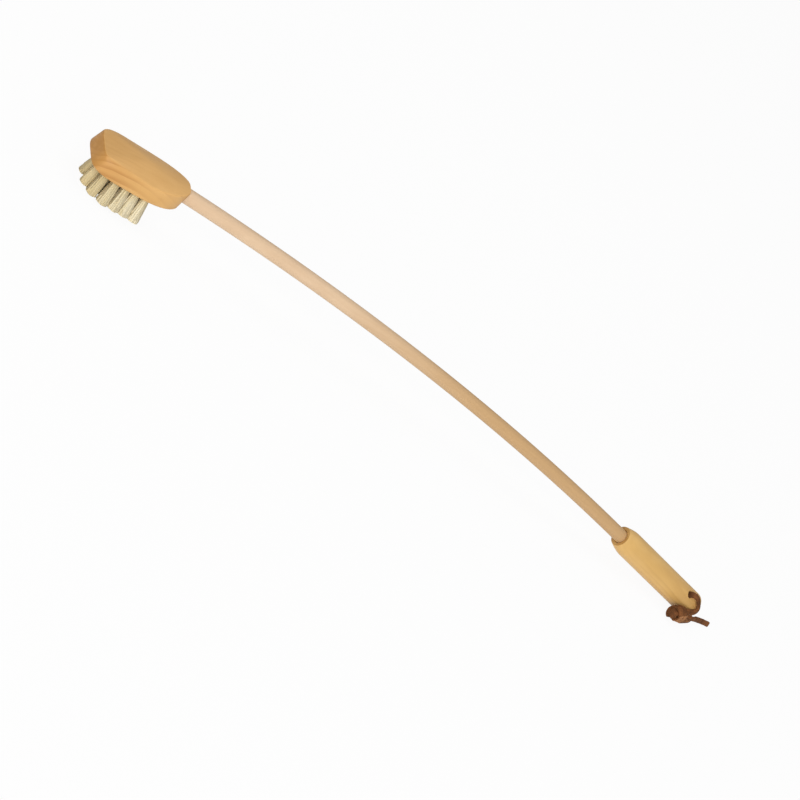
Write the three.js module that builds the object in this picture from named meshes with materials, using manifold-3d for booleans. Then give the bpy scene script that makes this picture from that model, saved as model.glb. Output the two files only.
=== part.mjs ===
// Long-handled back brush: an oblong block with bristle tufts, a bent rod, a turned grip and a leather thong.
// Millimetres, +Z up. It stands on its bristle tips and on the tail of its grip, on the plane z = 0.
import * as THREE from 'three';
import { mergeVertices } from 'three/addons/utils/BufferGeometryUtils.js';
import Module from 'manifold-3d';

const wasm = await Module();
wasm.setup();

// Fit
const CLEARANCE = 0.3; // gap between pieces that touch
const OVERRUN = 2; // how far a cutter runs past the face that it cuts

// Head block. Its own axis is x, the rod leaves it at x = 0 and its bristles point down
const BLOCK_LENGTH = 79; // from the free end to the flat that the rod butts against
const BLOCK_WIDTH = 44;
const BLOCK_SIDE = 14; // height of the side wall, up to the edge of the crowned back
const BLOCK_CROWN = 5.4; // rise of the back above that edge
const CROWN_FULLNESS = 1.6; // 2 is a plain dome, less is more pointed
const NECK_RISE = 4.2; // extra height of the back at the rod end
const FREE_SQUARENESS = 4.2; // of the plan's free half: 2 is an ellipse, more is squarer
const ROD_SQUARENESS = 2.05; // of the plan's half at the rod
const FREE_FLARE = 0.03; // share by which the block is wider at its free end
const BLOCK_WAIST = 0.03; // share of the half width drawn in at mid length
const END_SLOPE = 2.8; // how far the wall of the free end leans back, up to its edge
const SIDE_SLOPE = 0.5; // the same for the side walls
const BOTTOM_ROUND = 2.5;
const END_CUT = 2; // length cut off the oval to make the flat at the rod end
const OUTLINE_POINTS = 56;
const CROWN_RINGS = 9;
const ROUND_STEPS = 3;

// Rod
const ROD_DIAMETER = 12;
const ROD_LENGTH = 537; // the part that shows, from block to grip
const ROD_SLANT = THREE.MathUtils.degToRad(1.7); // fall of the rod where it leaves the block
const ROD_BEND = THREE.MathUtils.degToRad(10.5); // even bend along the part that shows
const ROD_HEIGHT = 10.6; // rod axis above the block's bottom face
const TENON_DIAMETER = 8;
const TENON_LENGTH = 24;
const ROD_CHAMFER = 0.8;
const GRIP_SOCKET = 30; // how deep the rod goes into the grip
const ROD_SIDES = 20;
const ROD_RINGS = 28;

// Grip
const GRIP_DIAMETER = 23.8;
const GRIP_MOUTH_DIAMETER = 19;
const GRIP_SHOULDER = 15; // length over which the grip swells from its mouth to its full diameter
const GRIP_LENGTH = 120;
const GRIP_MOUTH_ROUND = 0.8;
const GRIP_TAIL_ROUND = 5;
const GRIP_SIDES = 36;
const SHOULDER_STEPS = 5;
const BORE_CHAMFER = 0.5;
const THONG_HOLE_FROM_TAIL = 21;
const THONG_HOLE_TILT = THREE.MathUtils.degToRad(125); // turn of the hole up from crosswise
const HOLE_SIDES = 16;

// Bristles
const BRISTLE_LENGTH = 20.5;
const TUFT_PITCH = 8.5; // along a row
const TUFT_EDGE = 7.6; // from a side row to the block's side
const ROW_TUFTS = 3; // tufts in the straight stretch of a side row
const CURVE_TUFTS = 3; // tufts of a side row that follow the rounded free end
const CURVE_REACH = 18; // how far the side rows' curve reaches past its centre, along the block
const INNER_CURVE = 0.7; // how far out the inner rows' last tufts are, as a share of those rows
const FIELD_FROM_FLAT = 28; // rod end of the field, at the last tufts' middles
const TUFT_DIAMETER = 4;
const TUFT_STRANDS = 15;
const STRAND_RADIUS = 0.3;
const STRAND_SIDES = 3;
const TUFT_SPREAD = 1.8; // width of a tuft at its tips, in widths at its root
const SIDE_REACH = 5.2; // sideways reach of the side rows' tips
const END_LEAN = 0.07; // lengthwise reach, growing from the free end towards the rod
const ROOT_HEIGHT = 4.2; // folded root of a tuft inside its hole
const ROOT_SIDES = 8;
const SLICE_THICKNESS = 2; // backing slice that carries the strands
const SLICE_MARGIN = 0.8; // slice beyond the outer tufts
const SLICE_ARC_STEPS = 8;
const GOLDEN_ANGLE = Math.PI * (3 - Math.sqrt(5));

// Staples: flat wires that hold the folded tufts at the bottom of their holes
const STAPLE_LENGTH = 6;
const STAPLE_THICKNESS = 0.6;
const STAPLE_HEIGHT = 1.8;

// Thong: one flat lace through the hole
// Its points are measured from the spot on the ground under the hole: along, across, up
const LACE_WIDTH = 5;
const LACE_THICKNESS = 2.6;
const LACE_EDGE = 0.7; // bevel of its edges
const HOLE_PLAY = 0.45; // between the lace and the wall of its hole
const HOLE_STEPS = 8;
const LONG_STEPS = 104;
const SHORT_STEPS = 112;
const LACE_STRAIGHT = 1.4; // run straight out of the hole
const GROUND_GAP = 0.2; // under the lace
const KNOT_FROM = [7.2, -15.8, 10.5]; // line on which the long end lies folded in two inside the knot
const KNOT_TO = [-10.8, -24.2, 7.1];
const KNOT_GAP = 0.95; // between the laces in the knot
const KNOT_SLACK = 1.65; // beside the folded lace, inside the turns
const KNOT_ALONG = 7; // where the short end's turns start on the line
const KNOT_TURNS = 1.8;
const KNOT_START = THREE.MathUtils.degToRad(200); // 180 is the near side, 270 the bottom
const TURN_GAP = 0.9; // from one turn to the next
const TURN_POINTS = 9;
const FOLD_REACH = 2.8; // fold of the long end beyond the turns

// Looks
const blockWood = new THREE.MeshStandardMaterial({ color: 0xcfa063, roughness: 0.5, metalness: 0 });
const rodWood = new THREE.MeshStandardMaterial({ color: 0xdcbc92, roughness: 0.6, metalness: 0 });
const gripWood = new THREE.MeshStandardMaterial({ color: 0xd8b06c, roughness: 0.35, metalness: 0 });
const bristleHair = new THREE.MeshStandardMaterial({ color: 0xddd3b0, roughness: 0.7, metalness: 0 });
const stapleWire = new THREE.MeshStandardMaterial({ color: 0xb9b4a6, roughness: 0.35, metalness: 1 });
const laceLeather = new THREE.MeshStandardMaterial({ color: 0x6b4226, roughness: 0.75, metalness: 0 });

// Solids and meshes

function bareGeometry(geometry) {
  const bare = geometry.index ? geometry.toNonIndexed() : geometry.clone();
  bare.deleteAttribute('normal');
  bare.deleteAttribute('uv');
  return mergeVertices(bare);
}

function toSolid(geometry) {
  const bare = bareGeometry(geometry);
  const vertProperties = new Float32Array(bare.attributes.position.array);
  const triVerts = new Uint32Array(bare.index.array);
  return new wasm.Manifold(new wasm.Mesh({ numProp: 3, vertProperties, triVerts }));
}

function toGeometry(solid) {
  const mesh = solid.getMesh();
  const geometry = new THREE.BufferGeometry();
  geometry.setAttribute('position', new THREE.BufferAttribute(new Float32Array(mesh.vertProperties), 3));
  geometry.setIndex(new THREE.BufferAttribute(new Uint32Array(mesh.triVerts), 1));
  geometry.computeVertexNormals();
  return geometry;
}

function cut(geometry, cutters) {
  const tools = wasm.Manifold.union(cutters.map(toSolid));
  return toGeometry(toSolid(geometry).subtract(tools));
}

function join(geometries) {
  return toGeometry(wasm.Manifold.union(geometries.map(toSolid)));
}

// Skin over rings of equal count, each seen counter-clockwise from the next one, with both ends closed
function loft(rings) {
  const count = rings[0].length;
  const positions = [];
  const index = [];
  for (const ring of rings) {
    for (const point of ring) {
      positions.push(point.x, point.y, point.z);
    }
  }
  for (let row = 0; row + 1 < rings.length; row += 1) {
    for (let k = 0; k < count; k += 1) {
      const a = row * count + k;
      const b = row * count + ((k + 1) % count);
      index.push(a, b, b + count, a, b + count, a + count);
    }
  }
  for (const [row, flip] of [[0, true], [rings.length - 1, false]]) {
    const middle = new THREE.Vector3();
    rings[row].forEach((point) => middle.add(point));
    middle.divideScalar(count);
    const hub = positions.length / 3;
    positions.push(middle.x, middle.y, middle.z);
    for (let k = 0; k < count; k += 1) {
      const a = row * count + k;
      const b = row * count + ((k + 1) % count);
      index.push(hub, flip ? b : a, flip ? a : b);
    }
  }
  const geometry = new THREE.BufferGeometry();
  geometry.setAttribute('position', new THREE.Float32BufferAttribute(positions, 3));
  geometry.setIndex(index);
  geometry.computeVertexNormals();
  return geometry;
}

function named(name, geometry, material) {
  const mesh = new THREE.Mesh(geometry, material);
  mesh.name = name;
  return mesh;
}

// A cylinder whose axis is x, from x = from to x = to
function cylinderAlongX(radius, from, to, sides) {
  const geometry = new THREE.CylinderGeometry(radius, radius, to - from, sides);
  geometry.rotateZ(-Math.PI / 2);
  geometry.translate((from + to) / 2, 0, 0);
  return geometry;
}

// An upright cylinder that stands on the height bottom
function uprightCylinder(radius, x, y, bottom, top, sides) {
  const geometry = new THREE.CylinderGeometry(radius, radius, top - bottom, sides);
  geometry.rotateX(Math.PI / 2);
  geometry.translate(x, y, (bottom + top) / 2);
  return geometry;
}

// Head block

const blockBottom = -ROD_HEIGHT;
const blockHalfLength = (BLOCK_LENGTH + END_CUT) / 2;
const blockHalfWidth = BLOCK_WIDTH / 2;
const blockMiddle = blockHalfLength - BLOCK_LENGTH;

// One ring of the block: the plan's oval, drawn in by inset, leaning back by the share lean of the walls'
// slopes and shrunk by share, at the heights given
function blockRing(inset, lean, share, height) {
  const ring = [];
  for (let k = 0; k < OUTLINE_POINTS; k += 1) {
    const angle = (2 * Math.PI * k) / OUTLINE_POINTS;
    const power = 2 / (Math.cos(angle) > 0 ? ROD_SQUARENESS : FREE_SQUARENESS);
    const along = Math.sign(Math.cos(angle)) * Math.abs(Math.cos(angle)) ** power;
    const across = Math.sign(Math.sin(angle)) * Math.abs(Math.sin(angle)) ** power;
    const waist = (1 - BLOCK_WAIST * Math.cos((Math.PI / 2) * along) ** 2) * (1 - FREE_FLARE * along);
    const endSlope = lean * END_SLOPE * Math.max(0, -along) ** 3;
    const x = blockMiddle + share * (along * (blockHalfLength - inset) + endSlope);
    const y = across * share * (waist * (blockHalfWidth - inset) - lean * SIDE_SLOPE);
    ring.push(new THREE.Vector3(x, y, blockBottom + height(along * share)));
  }
  return ring;
}

function sideTop(along) {
  return BLOCK_SIDE + NECK_RISE * Math.max(0, along) ** 2;
}

function blockBlank() {
  const rings = [];
  for (let step = 0; step <= ROUND_STEPS; step += 1) {
    const turn = (Math.PI / 2) * (1 - step / ROUND_STEPS);
    const inset = BOTTOM_ROUND * (1 - Math.cos(turn));
    const height = BOTTOM_ROUND * (1 - Math.sin(turn));
    rings.push(blockRing(inset, height / BLOCK_SIDE, 1, () => height));
  }
  for (let step = 0; step < CROWN_RINGS; step += 1) {
    const share = Math.cos(((Math.PI / 2) * step) / CROWN_RINGS);
    const rise = BLOCK_CROWN * (1 - share ** CROWN_FULLNESS);
    rings.push(blockRing(0, 1, share, (along) => sideTop(along) + rise));
  }
  return loft(rings);
}

// Tuft places on the block's bottom, as x and y

const fieldEnd = -FIELD_FROM_FLAT;
const curveCentre = fieldEnd - TUFT_PITCH * (ROW_TUFTS - 0.5);
const sideRow = BLOCK_WIDTH / 2 - TUFT_EDGE;
const innerRow = sideRow / 2;

function tuftPlaces() {
  const places = [];
  for (const side of [-1, 1]) {
    for (let k = 0; k < CURVE_TUFTS; k += 1) {
      const angle = ((k + 0.5) / CURVE_TUFTS) * (Math.PI / 2);
      places.push([curveCentre - CURVE_REACH * Math.cos(angle), side * sideRow * Math.sin(angle)]);
    }
    for (let k = 0; k < ROW_TUFTS; k += 1) {
      places.push([fieldEnd - TUFT_PITCH * k, side * sideRow]);
      places.push([fieldEnd - TUFT_PITCH * (k + 0.5), side * innerRow]);
    }
    places.push([curveCentre - TUFT_PITCH, side * innerRow * INNER_CURVE]);
  }
  for (let k = 0; k <= ROW_TUFTS + 1; k += 1) {
    places.push([fieldEnd - TUFT_PITCH * k, 0]);
  }
  return places;
}

const tufts = tuftPlaces();

// Outline of the backing slice, larger all round by margin
function sliceShape(margin) {
  const reach = TUFT_DIAMETER / 2 + SLICE_MARGIN + margin;
  const half = sideRow + reach;
  const shape = new THREE.Shape();
  shape.moveTo(fieldEnd + reach, -half);
  shape.lineTo(fieldEnd + reach, half);
  shape.lineTo(curveCentre, half);
  shape.absellipse(curveCentre, 0, CURVE_REACH + reach, half, Math.PI / 2, 1.5 * Math.PI, false);
  shape.closePath();
  return shape;
}

function slab(margin, bottom, top) {
  const settings = { depth: top - bottom, bevelEnabled: false, curveSegments: SLICE_ARC_STEPS };
  const geometry = new THREE.ExtrudeGeometry(sliceShape(margin), settings);
  geometry.translate(0, 0, bottom);
  return geometry;
}

const sliceTop = blockBottom + SLICE_THICKNESS;
const rootTop = sliceTop + ROOT_HEIGHT;
const stapleBottom = rootTop + CLEARANCE;
const stapleTop = stapleBottom + STAPLE_HEIGHT;
const holeTop = stapleTop + CLEARANCE;

function stapleBox(x, y, margin) {
  const length = STAPLE_LENGTH + 2 * margin;
  const height = STAPLE_HEIGHT + 2 * margin;
  const geometry = new THREE.BoxGeometry(STAPLE_THICKNESS + 2 * margin, length, height);
  geometry.translate(x, y, (stapleBottom + stapleTop) / 2);
  return geometry;
}

function headBlock() {
  const flat = new THREE.BoxGeometry(BLOCK_LENGTH, 2 * BLOCK_WIDTH, 2 * BLOCK_LENGTH);
  flat.translate(BLOCK_LENGTH / 2, 0, 0);
  flat.rotateY(ROD_SLANT);
  const socketRadius = TENON_DIAMETER / 2 + CLEARANCE;
  const socket = cylinderAlongX(socketRadius, -TENON_LENGTH - CLEARANCE, OVERRUN, ROD_SIDES);
  socket.rotateY(ROD_SLANT);
  const cutters = [flat, socket, slab(CLEARANCE, blockBottom - OVERRUN, sliceTop + CLEARANCE)];
  for (const [x, y] of tufts) {
    cutters.push(uprightCylinder(TUFT_DIAMETER / 2 + CLEARANCE, x, y, sliceTop, holeTop, ROOT_SIDES));
    cutters.push(stapleBox(x, y, CLEARANCE));
  }
  return cut(blockBlank(), cutters);
}

// Bristles

// Where a point at the root of a tuft ends up at the tips. Tufts nearer the middle reach out less
function tipOf(x, y, dx, dy) {
  const lean = END_LEAN * (x - (curveCentre - CURVE_REACH));
  const reach = SIDE_REACH * Math.sign(y) * Math.sqrt(Math.abs(y) / sideRow);
  return [x + lean + TUFT_SPREAD * dx, y + reach + TUFT_SPREAD * dy];
}

function strandRing(x, y, z, turn) {
  const ring = [];
  for (let k = 0; k < STRAND_SIDES; k += 1) {
    const angle = turn + (2 * Math.PI * k) / STRAND_SIDES;
    const dx = STRAND_RADIUS * Math.cos(angle);
    const dy = STRAND_RADIUS * Math.sin(angle);
    ring.push(new THREE.Vector3(x + dx, y + dy, z));
  }
  return ring;
}

// The strands of one tuft, mirrored from one half of the block to the other
function tuftStrands(x, y) {
  const strands = [];
  const mirror = y > 0 ? -1 : 1;
  const radius = TUFT_DIAMETER / 2 - STRAND_RADIUS;
  for (let k = 0; k < TUFT_STRANDS; k += 1) {
    const away = radius * Math.sqrt((k + 0.5) / TUFT_STRANDS);
    const turn = mirror * GOLDEN_ANGLE * k;
    const dx = away * Math.cos(turn);
    const dy = away * Math.sin(turn);
    const [tipX, tipY] = tipOf(x, y, dx, dy);
    const root = strandRing(x + dx, y + dy, blockBottom, turn);
    const inside = root.map((point) => point.clone().setZ(blockBottom + SLICE_THICKNESS / 2));
    const tip = strandRing(tipX, tipY, blockBottom - BRISTLE_LENGTH, turn);
    strands.push(loft([tip, root, inside]));
  }
  return strands;
}

function bristleField() {
  const pieces = [slab(0, blockBottom, sliceTop)];
  const rootBottom = sliceTop - SLICE_THICKNESS / 2;
  for (const [x, y] of tufts) {
    pieces.push(uprightCylinder(TUFT_DIAMETER / 2, x, y, rootBottom, rootTop, ROOT_SIDES));
    pieces.push(...tuftStrands(x, y));
  }
  return join(pieces);
}

// Rod

const curvature = ROD_BEND / ROD_LENGTH;

// Place and fall of the rod's axis at the distance s from the block's flat
function rodAxis(s) {
  const bent = THREE.MathUtils.clamp(s, 0, ROD_LENGTH);
  const fall = ROD_SLANT + curvature * bent;
  const x = (Math.sin(fall) - Math.sin(ROD_SLANT)) / curvature + (s - bent) * Math.cos(fall);
  const z = (Math.cos(fall) - Math.cos(ROD_SLANT)) / curvature - (s - bent) * Math.sin(fall);
  return { x, z, fall };
}

function rodRing(s, radius) {
  const { x, z, fall } = rodAxis(s);
  const ring = [];
  for (let k = 0; k < ROD_SIDES; k += 1) {
    const angle = (2 * Math.PI * k) / ROD_SIDES;
    const across = radius * Math.cos(angle);
    const up = radius * Math.sin(angle);
    ring.push(new THREE.Vector3(x + up * Math.sin(fall), across, z + up * Math.cos(fall)));
  }
  return ring;
}

function bentRod() {
  const tenon = TENON_DIAMETER / 2;
  const full = ROD_DIAMETER / 2;
  const shoulder = CLEARANCE + ROD_CHAMFER;
  const end = ROD_LENGTH + GRIP_SOCKET;
  const rings = [
    rodRing(-TENON_LENGTH, tenon - ROD_CHAMFER),
    rodRing(-TENON_LENGTH + ROD_CHAMFER, tenon),
    rodRing(CLEARANCE, tenon),
    rodRing(CLEARANCE, full - ROD_CHAMFER),
  ];
  for (let k = 0; k <= ROD_RINGS; k += 1) {
    rings.push(rodRing(shoulder + ((ROD_LENGTH - shoulder) * k) / ROD_RINGS, full));
  }
  rings.push(rodRing(end - ROD_CHAMFER, full), rodRing(end, full - ROD_CHAMFER));
  return loft(rings);
}

// Grip, with its mouth at x = 0 and its tail at x = GRIP_LENGTH

function quarterRound(profile, radius, middleRadius, middleHeight, from) {
  for (let step = 0; step <= ROUND_STEPS; step += 1) {
    const angle = from + ((Math.PI / 2) * step) / ROUND_STEPS;
    const r = middleRadius + radius * Math.cos(angle);
    profile.push(new THREE.Vector2(r, middleHeight + radius * Math.sin(angle)));
  }
}

const thongHoleX = GRIP_LENGTH - THONG_HOLE_FROM_TAIL;
const gripRadius = GRIP_DIAMETER / 2;

function thongHole() {
  const radius = LACE_WIDTH / 2 + HOLE_PLAY;
  const geometry = new THREE.CylinderGeometry(radius, radius, GRIP_DIAMETER + 2 * OVERRUN, HOLE_SIDES);
  geometry.rotateX(THONG_HOLE_TILT);
  geometry.translate(thongHoleX, 0, 0);
  return geometry;
}

function turnedGrip() {
  const bore = ROD_DIAMETER / 2 + CLEARANCE;
  const depth = GRIP_SOCKET + CLEARANCE;
  const profile = [
    new THREE.Vector2(0, depth),
    new THREE.Vector2(bore, depth),
    new THREE.Vector2(bore, BORE_CHAMFER),
    new THREE.Vector2(bore + BORE_CHAMFER, 0),
  ];
  const mouth = GRIP_MOUTH_DIAMETER / 2;
  quarterRound(profile, GRIP_MOUTH_ROUND, mouth - GRIP_MOUTH_ROUND, GRIP_MOUTH_ROUND, -Math.PI / 2);
  for (let step = 1; step <= SHOULDER_STEPS; step += 1) {
    const swell = Math.sin(((Math.PI / 2) * step) / SHOULDER_STEPS);
    const height = GRIP_MOUTH_ROUND + ((GRIP_SHOULDER - GRIP_MOUTH_ROUND) * step) / SHOULDER_STEPS;
    profile.push(new THREE.Vector2(mouth + (gripRadius - mouth) * swell, height));
  }
  const tail = gripRadius - GRIP_TAIL_ROUND;
  quarterRound(profile, GRIP_TAIL_ROUND, tail, GRIP_LENGTH - GRIP_TAIL_ROUND, 0);
  profile.push(new THREE.Vector2(0, GRIP_LENGTH));
  const blank = new THREE.LatheGeometry(profile, GRIP_SIDES);
  blank.rotateZ(-Math.PI / 2);
  return cut(blank, [thongHole()]);
}

// The brush lies along x in one group, and the grip in a group of its own at the rod's end

const brush = new THREE.Group();
const gripGroup = new THREE.Group();
const rodEnd = rodAxis(ROD_LENGTH);
gripGroup.position.set(rodEnd.x, 0, rodEnd.z);
gripGroup.rotation.y = rodEnd.fall;

const bristles = named('bristle_field', bristleField(), bristleHair);
const grip = named('grip', turnedGrip(), gripWood);
brush.add(named('head_block', headBlock(), blockWood));
brush.add(bristles);
tufts.forEach(([x, y], k) => {
  brush.add(named(`staple_${String(k + 1).padStart(2, '0')}`, stapleBox(x, y, 0), stapleWire));
});
brush.add(named('rod', bentRod(), rodWood));
gripGroup.add(grip);
brush.add(gripGroup);

// Lowest vertex of a mesh as the brush now stands
function lowest(mesh) {
  brush.updateMatrixWorld(true);
  const place = mesh.geometry.attributes.position;
  const point = new THREE.Vector3();
  let low = null;
  for (let k = 0; k < place.count; k += 1) {
    point.fromBufferAttribute(place, k).applyMatrix4(mesh.matrixWorld);
    if (!low || point.z < low.z) {
      low = point.clone();
    }
  }
  return low;
}

// Tips the brush until its bristles and its tail stand on one level, then sets it down about x = 0
const LEVEL_ROUNDS = 6;
for (let round = 0; round < LEVEL_ROUNDS; round += 1) {
  const front = lowest(bristles);
  const back = lowest(grip);
  brush.rotation.y += Math.atan2(back.z - front.z, back.x - front.x);
}
brush.updateMatrixWorld(true);
const stand = new THREE.Box3().setFromObject(brush, true);
brush.position.set(-(stand.min.x + stand.max.x) / 2, 0, -stand.min.z);
brush.updateMatrixWorld(true);

// Thong

const holeMiddle = gripGroup.localToWorld(new THREE.Vector3(thongHoleX, 0, 0));

// A place of the lace is a point and the way its grain side faces there

const UPPER_FACING = [-1, 0, 0];
const LOWER_FACING = [-0.82, -0.51, -0.26];

function inHole(distance, facing) {
  const across = distance * Math.cos(THONG_HOLE_TILT);
  const up = distance * Math.sin(THONG_HOLE_TILT);
  const point = gripGroup.localToWorld(new THREE.Vector3(thongHoleX, across, up));
  return { point, facing: new THREE.Vector3(...facing) };
}

function fromHole([along, across, up], facing) {
  return { point: new THREE.Vector3(holeMiddle.x + along, across, up), facing: new THREE.Vector3(...facing) };
}

// Inside the knot: along its line, up from it and aside from it towards the grip
const knotFrom = new THREE.Vector3(...KNOT_FROM);
const knotLine = new THREE.Vector3(...KNOT_TO).sub(knotFrom).normalize();
const knotUp = new THREE.Vector3(0, 0, 1).projectOnPlane(knotLine).normalize();
const knotAside = knotLine.clone().cross(knotUp);

function knotWay([along, up, aside]) {
  const way = knotLine.clone().multiplyScalar(along);
  return way.addScaledVector(knotUp, up).addScaledVector(knotAside, aside);
}

function inKnot(position, facing) {
  const point = knotWay(position).add(knotFrom);
  return fromHole(point.toArray(), knotWay(facing).toArray());
}

const apart = LACE_THICKNESS / 2 + KNOT_GAP; // from the knot's line to each half of the folded end
const turnRise = apart + LACE_THICKNESS + KNOT_GAP;
const turnReach = (LACE_WIDTH + LACE_THICKNESS) / 2 + KNOT_SLACK;
const turnsLength = KNOT_TURNS * (LACE_WIDTH + TURN_GAP);
const turnsEnd = KNOT_ALONG + turnsLength;

// The long end comes out on top, hugs the near side, lies folded in the knot and runs past the tail
const mouth = gripRadius + CLEARANCE;
const longRoute = [
  inHole(mouth, UPPER_FACING),
  inHole(mouth + LACE_STRAIGHT, UPPER_FACING),
  fromHole([4, -9.2, 26.2], [-0.6, -0.3, 0.8]),
  fromHole([8.4, -9.8, 25.2], [0.1, -0.5, 0.85]),
  fromHole([12.4, -10.6, 22.6], [0.5, -0.55, 0.65]),
  fromHole([15.2, -12.6, 19.2], [0.5, -0.75, 0.4]),
  fromHole([14.6, -13.9, 15.8], [0.2, -0.9, 0.3]),
  fromHole([11.2, -14.8, 13.7], [0, -0.9, 0.45]),
  inKnot([0, apart, 0], [0, 0.7, -0.7]),
  inKnot([6, apart, 0], [0, 1, 0]),
  inKnot([turnsEnd, apart, 0], [0, 1, 0]),
  inKnot([turnsEnd + 0.63 * FOLD_REACH, 0.85 * apart, 0], [0.6, 1, 0]),
  inKnot([turnsEnd + FOLD_REACH, 0, 0], [1, 0, 0]),
  inKnot([turnsEnd + 0.63 * FOLD_REACH, -0.85 * apart, 0], [0.6, -1, 0]),
  inKnot([turnsEnd, -apart, 0], [0, -1, 0]),
  inKnot([6, -apart, 0], [0, -1, 0]),
  inKnot([-0.5, -1.1 * apart, 0], [0, -1, -0.3]),
  fromHole([13.4, -15.8, 9], [-0.2, -0.9, -0.6]),
  fromHole([20.4, -13.4, 8.6], [-0.3, -0.9, 0]),
  fromHole([28, -8.6, 7.4], [-0.4, -0.8, 0.3]),
  fromHole([36, -4.2, 6], [-0.4, -0.8, 0.4]),
  fromHole([44, -0.2, 4.8], [-0.4, -0.8, 0.4]),
  fromHole([51.4, 3.2, 3.7], [-0.4, -0.8, 0.4]),
  fromHole([58.2, 5.8, 2.9], [-0.4, -0.8, 0.4]),
];

// The short end comes out below, lies round the tail, grain side down, and winds round the folded end
const onGround = LACE_THICKNESS / 2 + GROUND_GAP;
const groundPoints = [
  [7.4, 14.4], [13, 15.8], [21, 15.2], [28, 11.6], [32, 6], [31.4, -0.4], [26.6, -6], [20, -10.6],
  [13.4, -14.6],
];

function knotTurns() {
  const places = [];
  const count = Math.round(TURN_POINTS * KNOT_TURNS);
  for (let k = 0; k <= count; k += 1) {
    const angle = KNOT_START - (2 * Math.PI * KNOT_TURNS * k) / count;
    const [up, aside] = [Math.sin(angle), Math.cos(angle)];
    const along = KNOT_ALONG + (turnsLength * k) / count;
    places.push(inKnot([along, turnRise * up, turnReach * aside], [0, up, aside]));
  }
  return places;
}

const shortRoute = [
  inHole(-mouth, LOWER_FACING),
  fromHole([-1.05, 7.6, onGround + 1.6], [-0.79, -0.23, -0.57]),
  fromHole([-0.7, 8.3, onGround + 1.12], [-0.62, 0.09, -0.78]),
  fromHole([0, 9, onGround + 0.96], [-0.34, 0.35, -0.86]),
  fromHole([3.2, 11.8, onGround + 0.6], [-0.15, 0.15, -0.97]),
  ...groundPoints.map(([along, across]) => fromHole([along, across, onGround], [0, 0, -1])),
  fromHole([8.6, -17.6, onGround + 0.2], [0.05, -0.2, -1]),
  fromHole([4.4, -20.7, onGround + 1.4], [0.2, -0.7, -0.7]),
  ...knotTurns(),
];

// Corners of the lace's section: across it and out on its grain side
const [halfWidth, halfThickness] = [LACE_WIDTH / 2, LACE_THICKNESS / 2];
const laceSection = [
  [halfWidth, LACE_EDGE - halfThickness],
  [halfWidth, halfThickness - LACE_EDGE],
  [halfWidth - LACE_EDGE, halfThickness],
  [LACE_EDGE - halfWidth, halfThickness],
  [-halfWidth, halfThickness - LACE_EDGE],
  [-halfWidth, LACE_EDGE - halfThickness],
  [LACE_EDGE - halfWidth, -halfThickness],
  [halfWidth - LACE_EDGE, -halfThickness],
];

function lace(name, route, steps) {
  const curve = new THREE.CatmullRomCurve3(route.map(({ point }) => point), false, 'centripetal');
  const rings = [];
  for (let k = 0; k <= steps; k += 1) {
    const t = curve.getUtoTmapping(k / steps);
    const tangent = curve.getTangent(t);
    const last = Math.min(Math.floor(t * (route.length - 1)), route.length - 2);
    const facing = route[last].facing.clone().normalize();
    facing.lerp(route[last + 1].facing.clone().normalize(), t * (route.length - 1) - last);
    facing.projectOnPlane(tangent).normalize();
    const aside = facing.clone().cross(tangent);
    const middle = curve.getPoint(t);
    rings.push(laceSection.map(([across, out]) => (
      middle.clone().addScaledVector(aside, across).addScaledVector(facing, out)
    )));
  }
  console.log(name, 'length', curve.getLength().toFixed(1));
  return named(name, loft(rings), laceLeather);
}

const object = new THREE.Group();
object.add(brush);
const holeRoute = [inHole(-gripRadius, LOWER_FACING), inHole(gripRadius, UPPER_FACING)];
object.add(lace('thong_through', holeRoute, HOLE_STEPS));
object.add(lace('thong_long', longRoute, LONG_STEPS));
object.add(lace('thong_short', shortRoute, SHORT_STEPS));

export default object;
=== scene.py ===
# %% [markdown]
# # A long-handled back brush
# The brush has an oblong wooden block with tufts of pale bristle, a bent rod, a turned grip and a
# leather thong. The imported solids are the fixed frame. Every piece below is made in that frame, in
# metres, and stands for one of the solids. Only the staples show the solids themselves.

# %% Load the frame
import math

import bpy
import numpy as np
from mathutils import Matrix, Vector


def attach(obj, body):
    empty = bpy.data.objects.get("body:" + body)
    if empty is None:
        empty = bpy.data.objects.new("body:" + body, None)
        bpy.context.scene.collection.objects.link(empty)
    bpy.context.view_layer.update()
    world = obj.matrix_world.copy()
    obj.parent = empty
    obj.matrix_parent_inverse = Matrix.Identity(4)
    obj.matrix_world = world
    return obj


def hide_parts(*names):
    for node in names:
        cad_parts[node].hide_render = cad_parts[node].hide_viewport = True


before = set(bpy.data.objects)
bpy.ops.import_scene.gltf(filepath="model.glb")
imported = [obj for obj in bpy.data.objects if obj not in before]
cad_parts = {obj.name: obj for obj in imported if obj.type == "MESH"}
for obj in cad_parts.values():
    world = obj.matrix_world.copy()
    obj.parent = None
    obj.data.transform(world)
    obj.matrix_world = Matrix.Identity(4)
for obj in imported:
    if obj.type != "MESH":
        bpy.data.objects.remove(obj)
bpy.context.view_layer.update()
scene = bpy.context.scene
scene.view_settings.view_transform = "Standard"

# %% [markdown]
# ## Camera
# The picture looks down on the brush from its near side, past the head, with a long lens and with
# the camera rolled, so that the brush runs across the frame from corner to corner. A camera can be
# aimed with a Track To constraint, but that can't roll it. Its three axes are written straight into
# its matrix instead: right, up, and backwards, since a camera looks along its own minus z.

# %% Camera
CAMERA_PLACE = Vector((-1.2442, -1.5071, 0.8181))
CAMERA_FORWARD = Vector((0.5833, 0.7150, -0.3854)).normalized()
CAMERA_UP = Vector((-0.4790, 0.6860, 0.5477))
LENS_MM, SENSOR_MM = 120.3, 36


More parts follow.
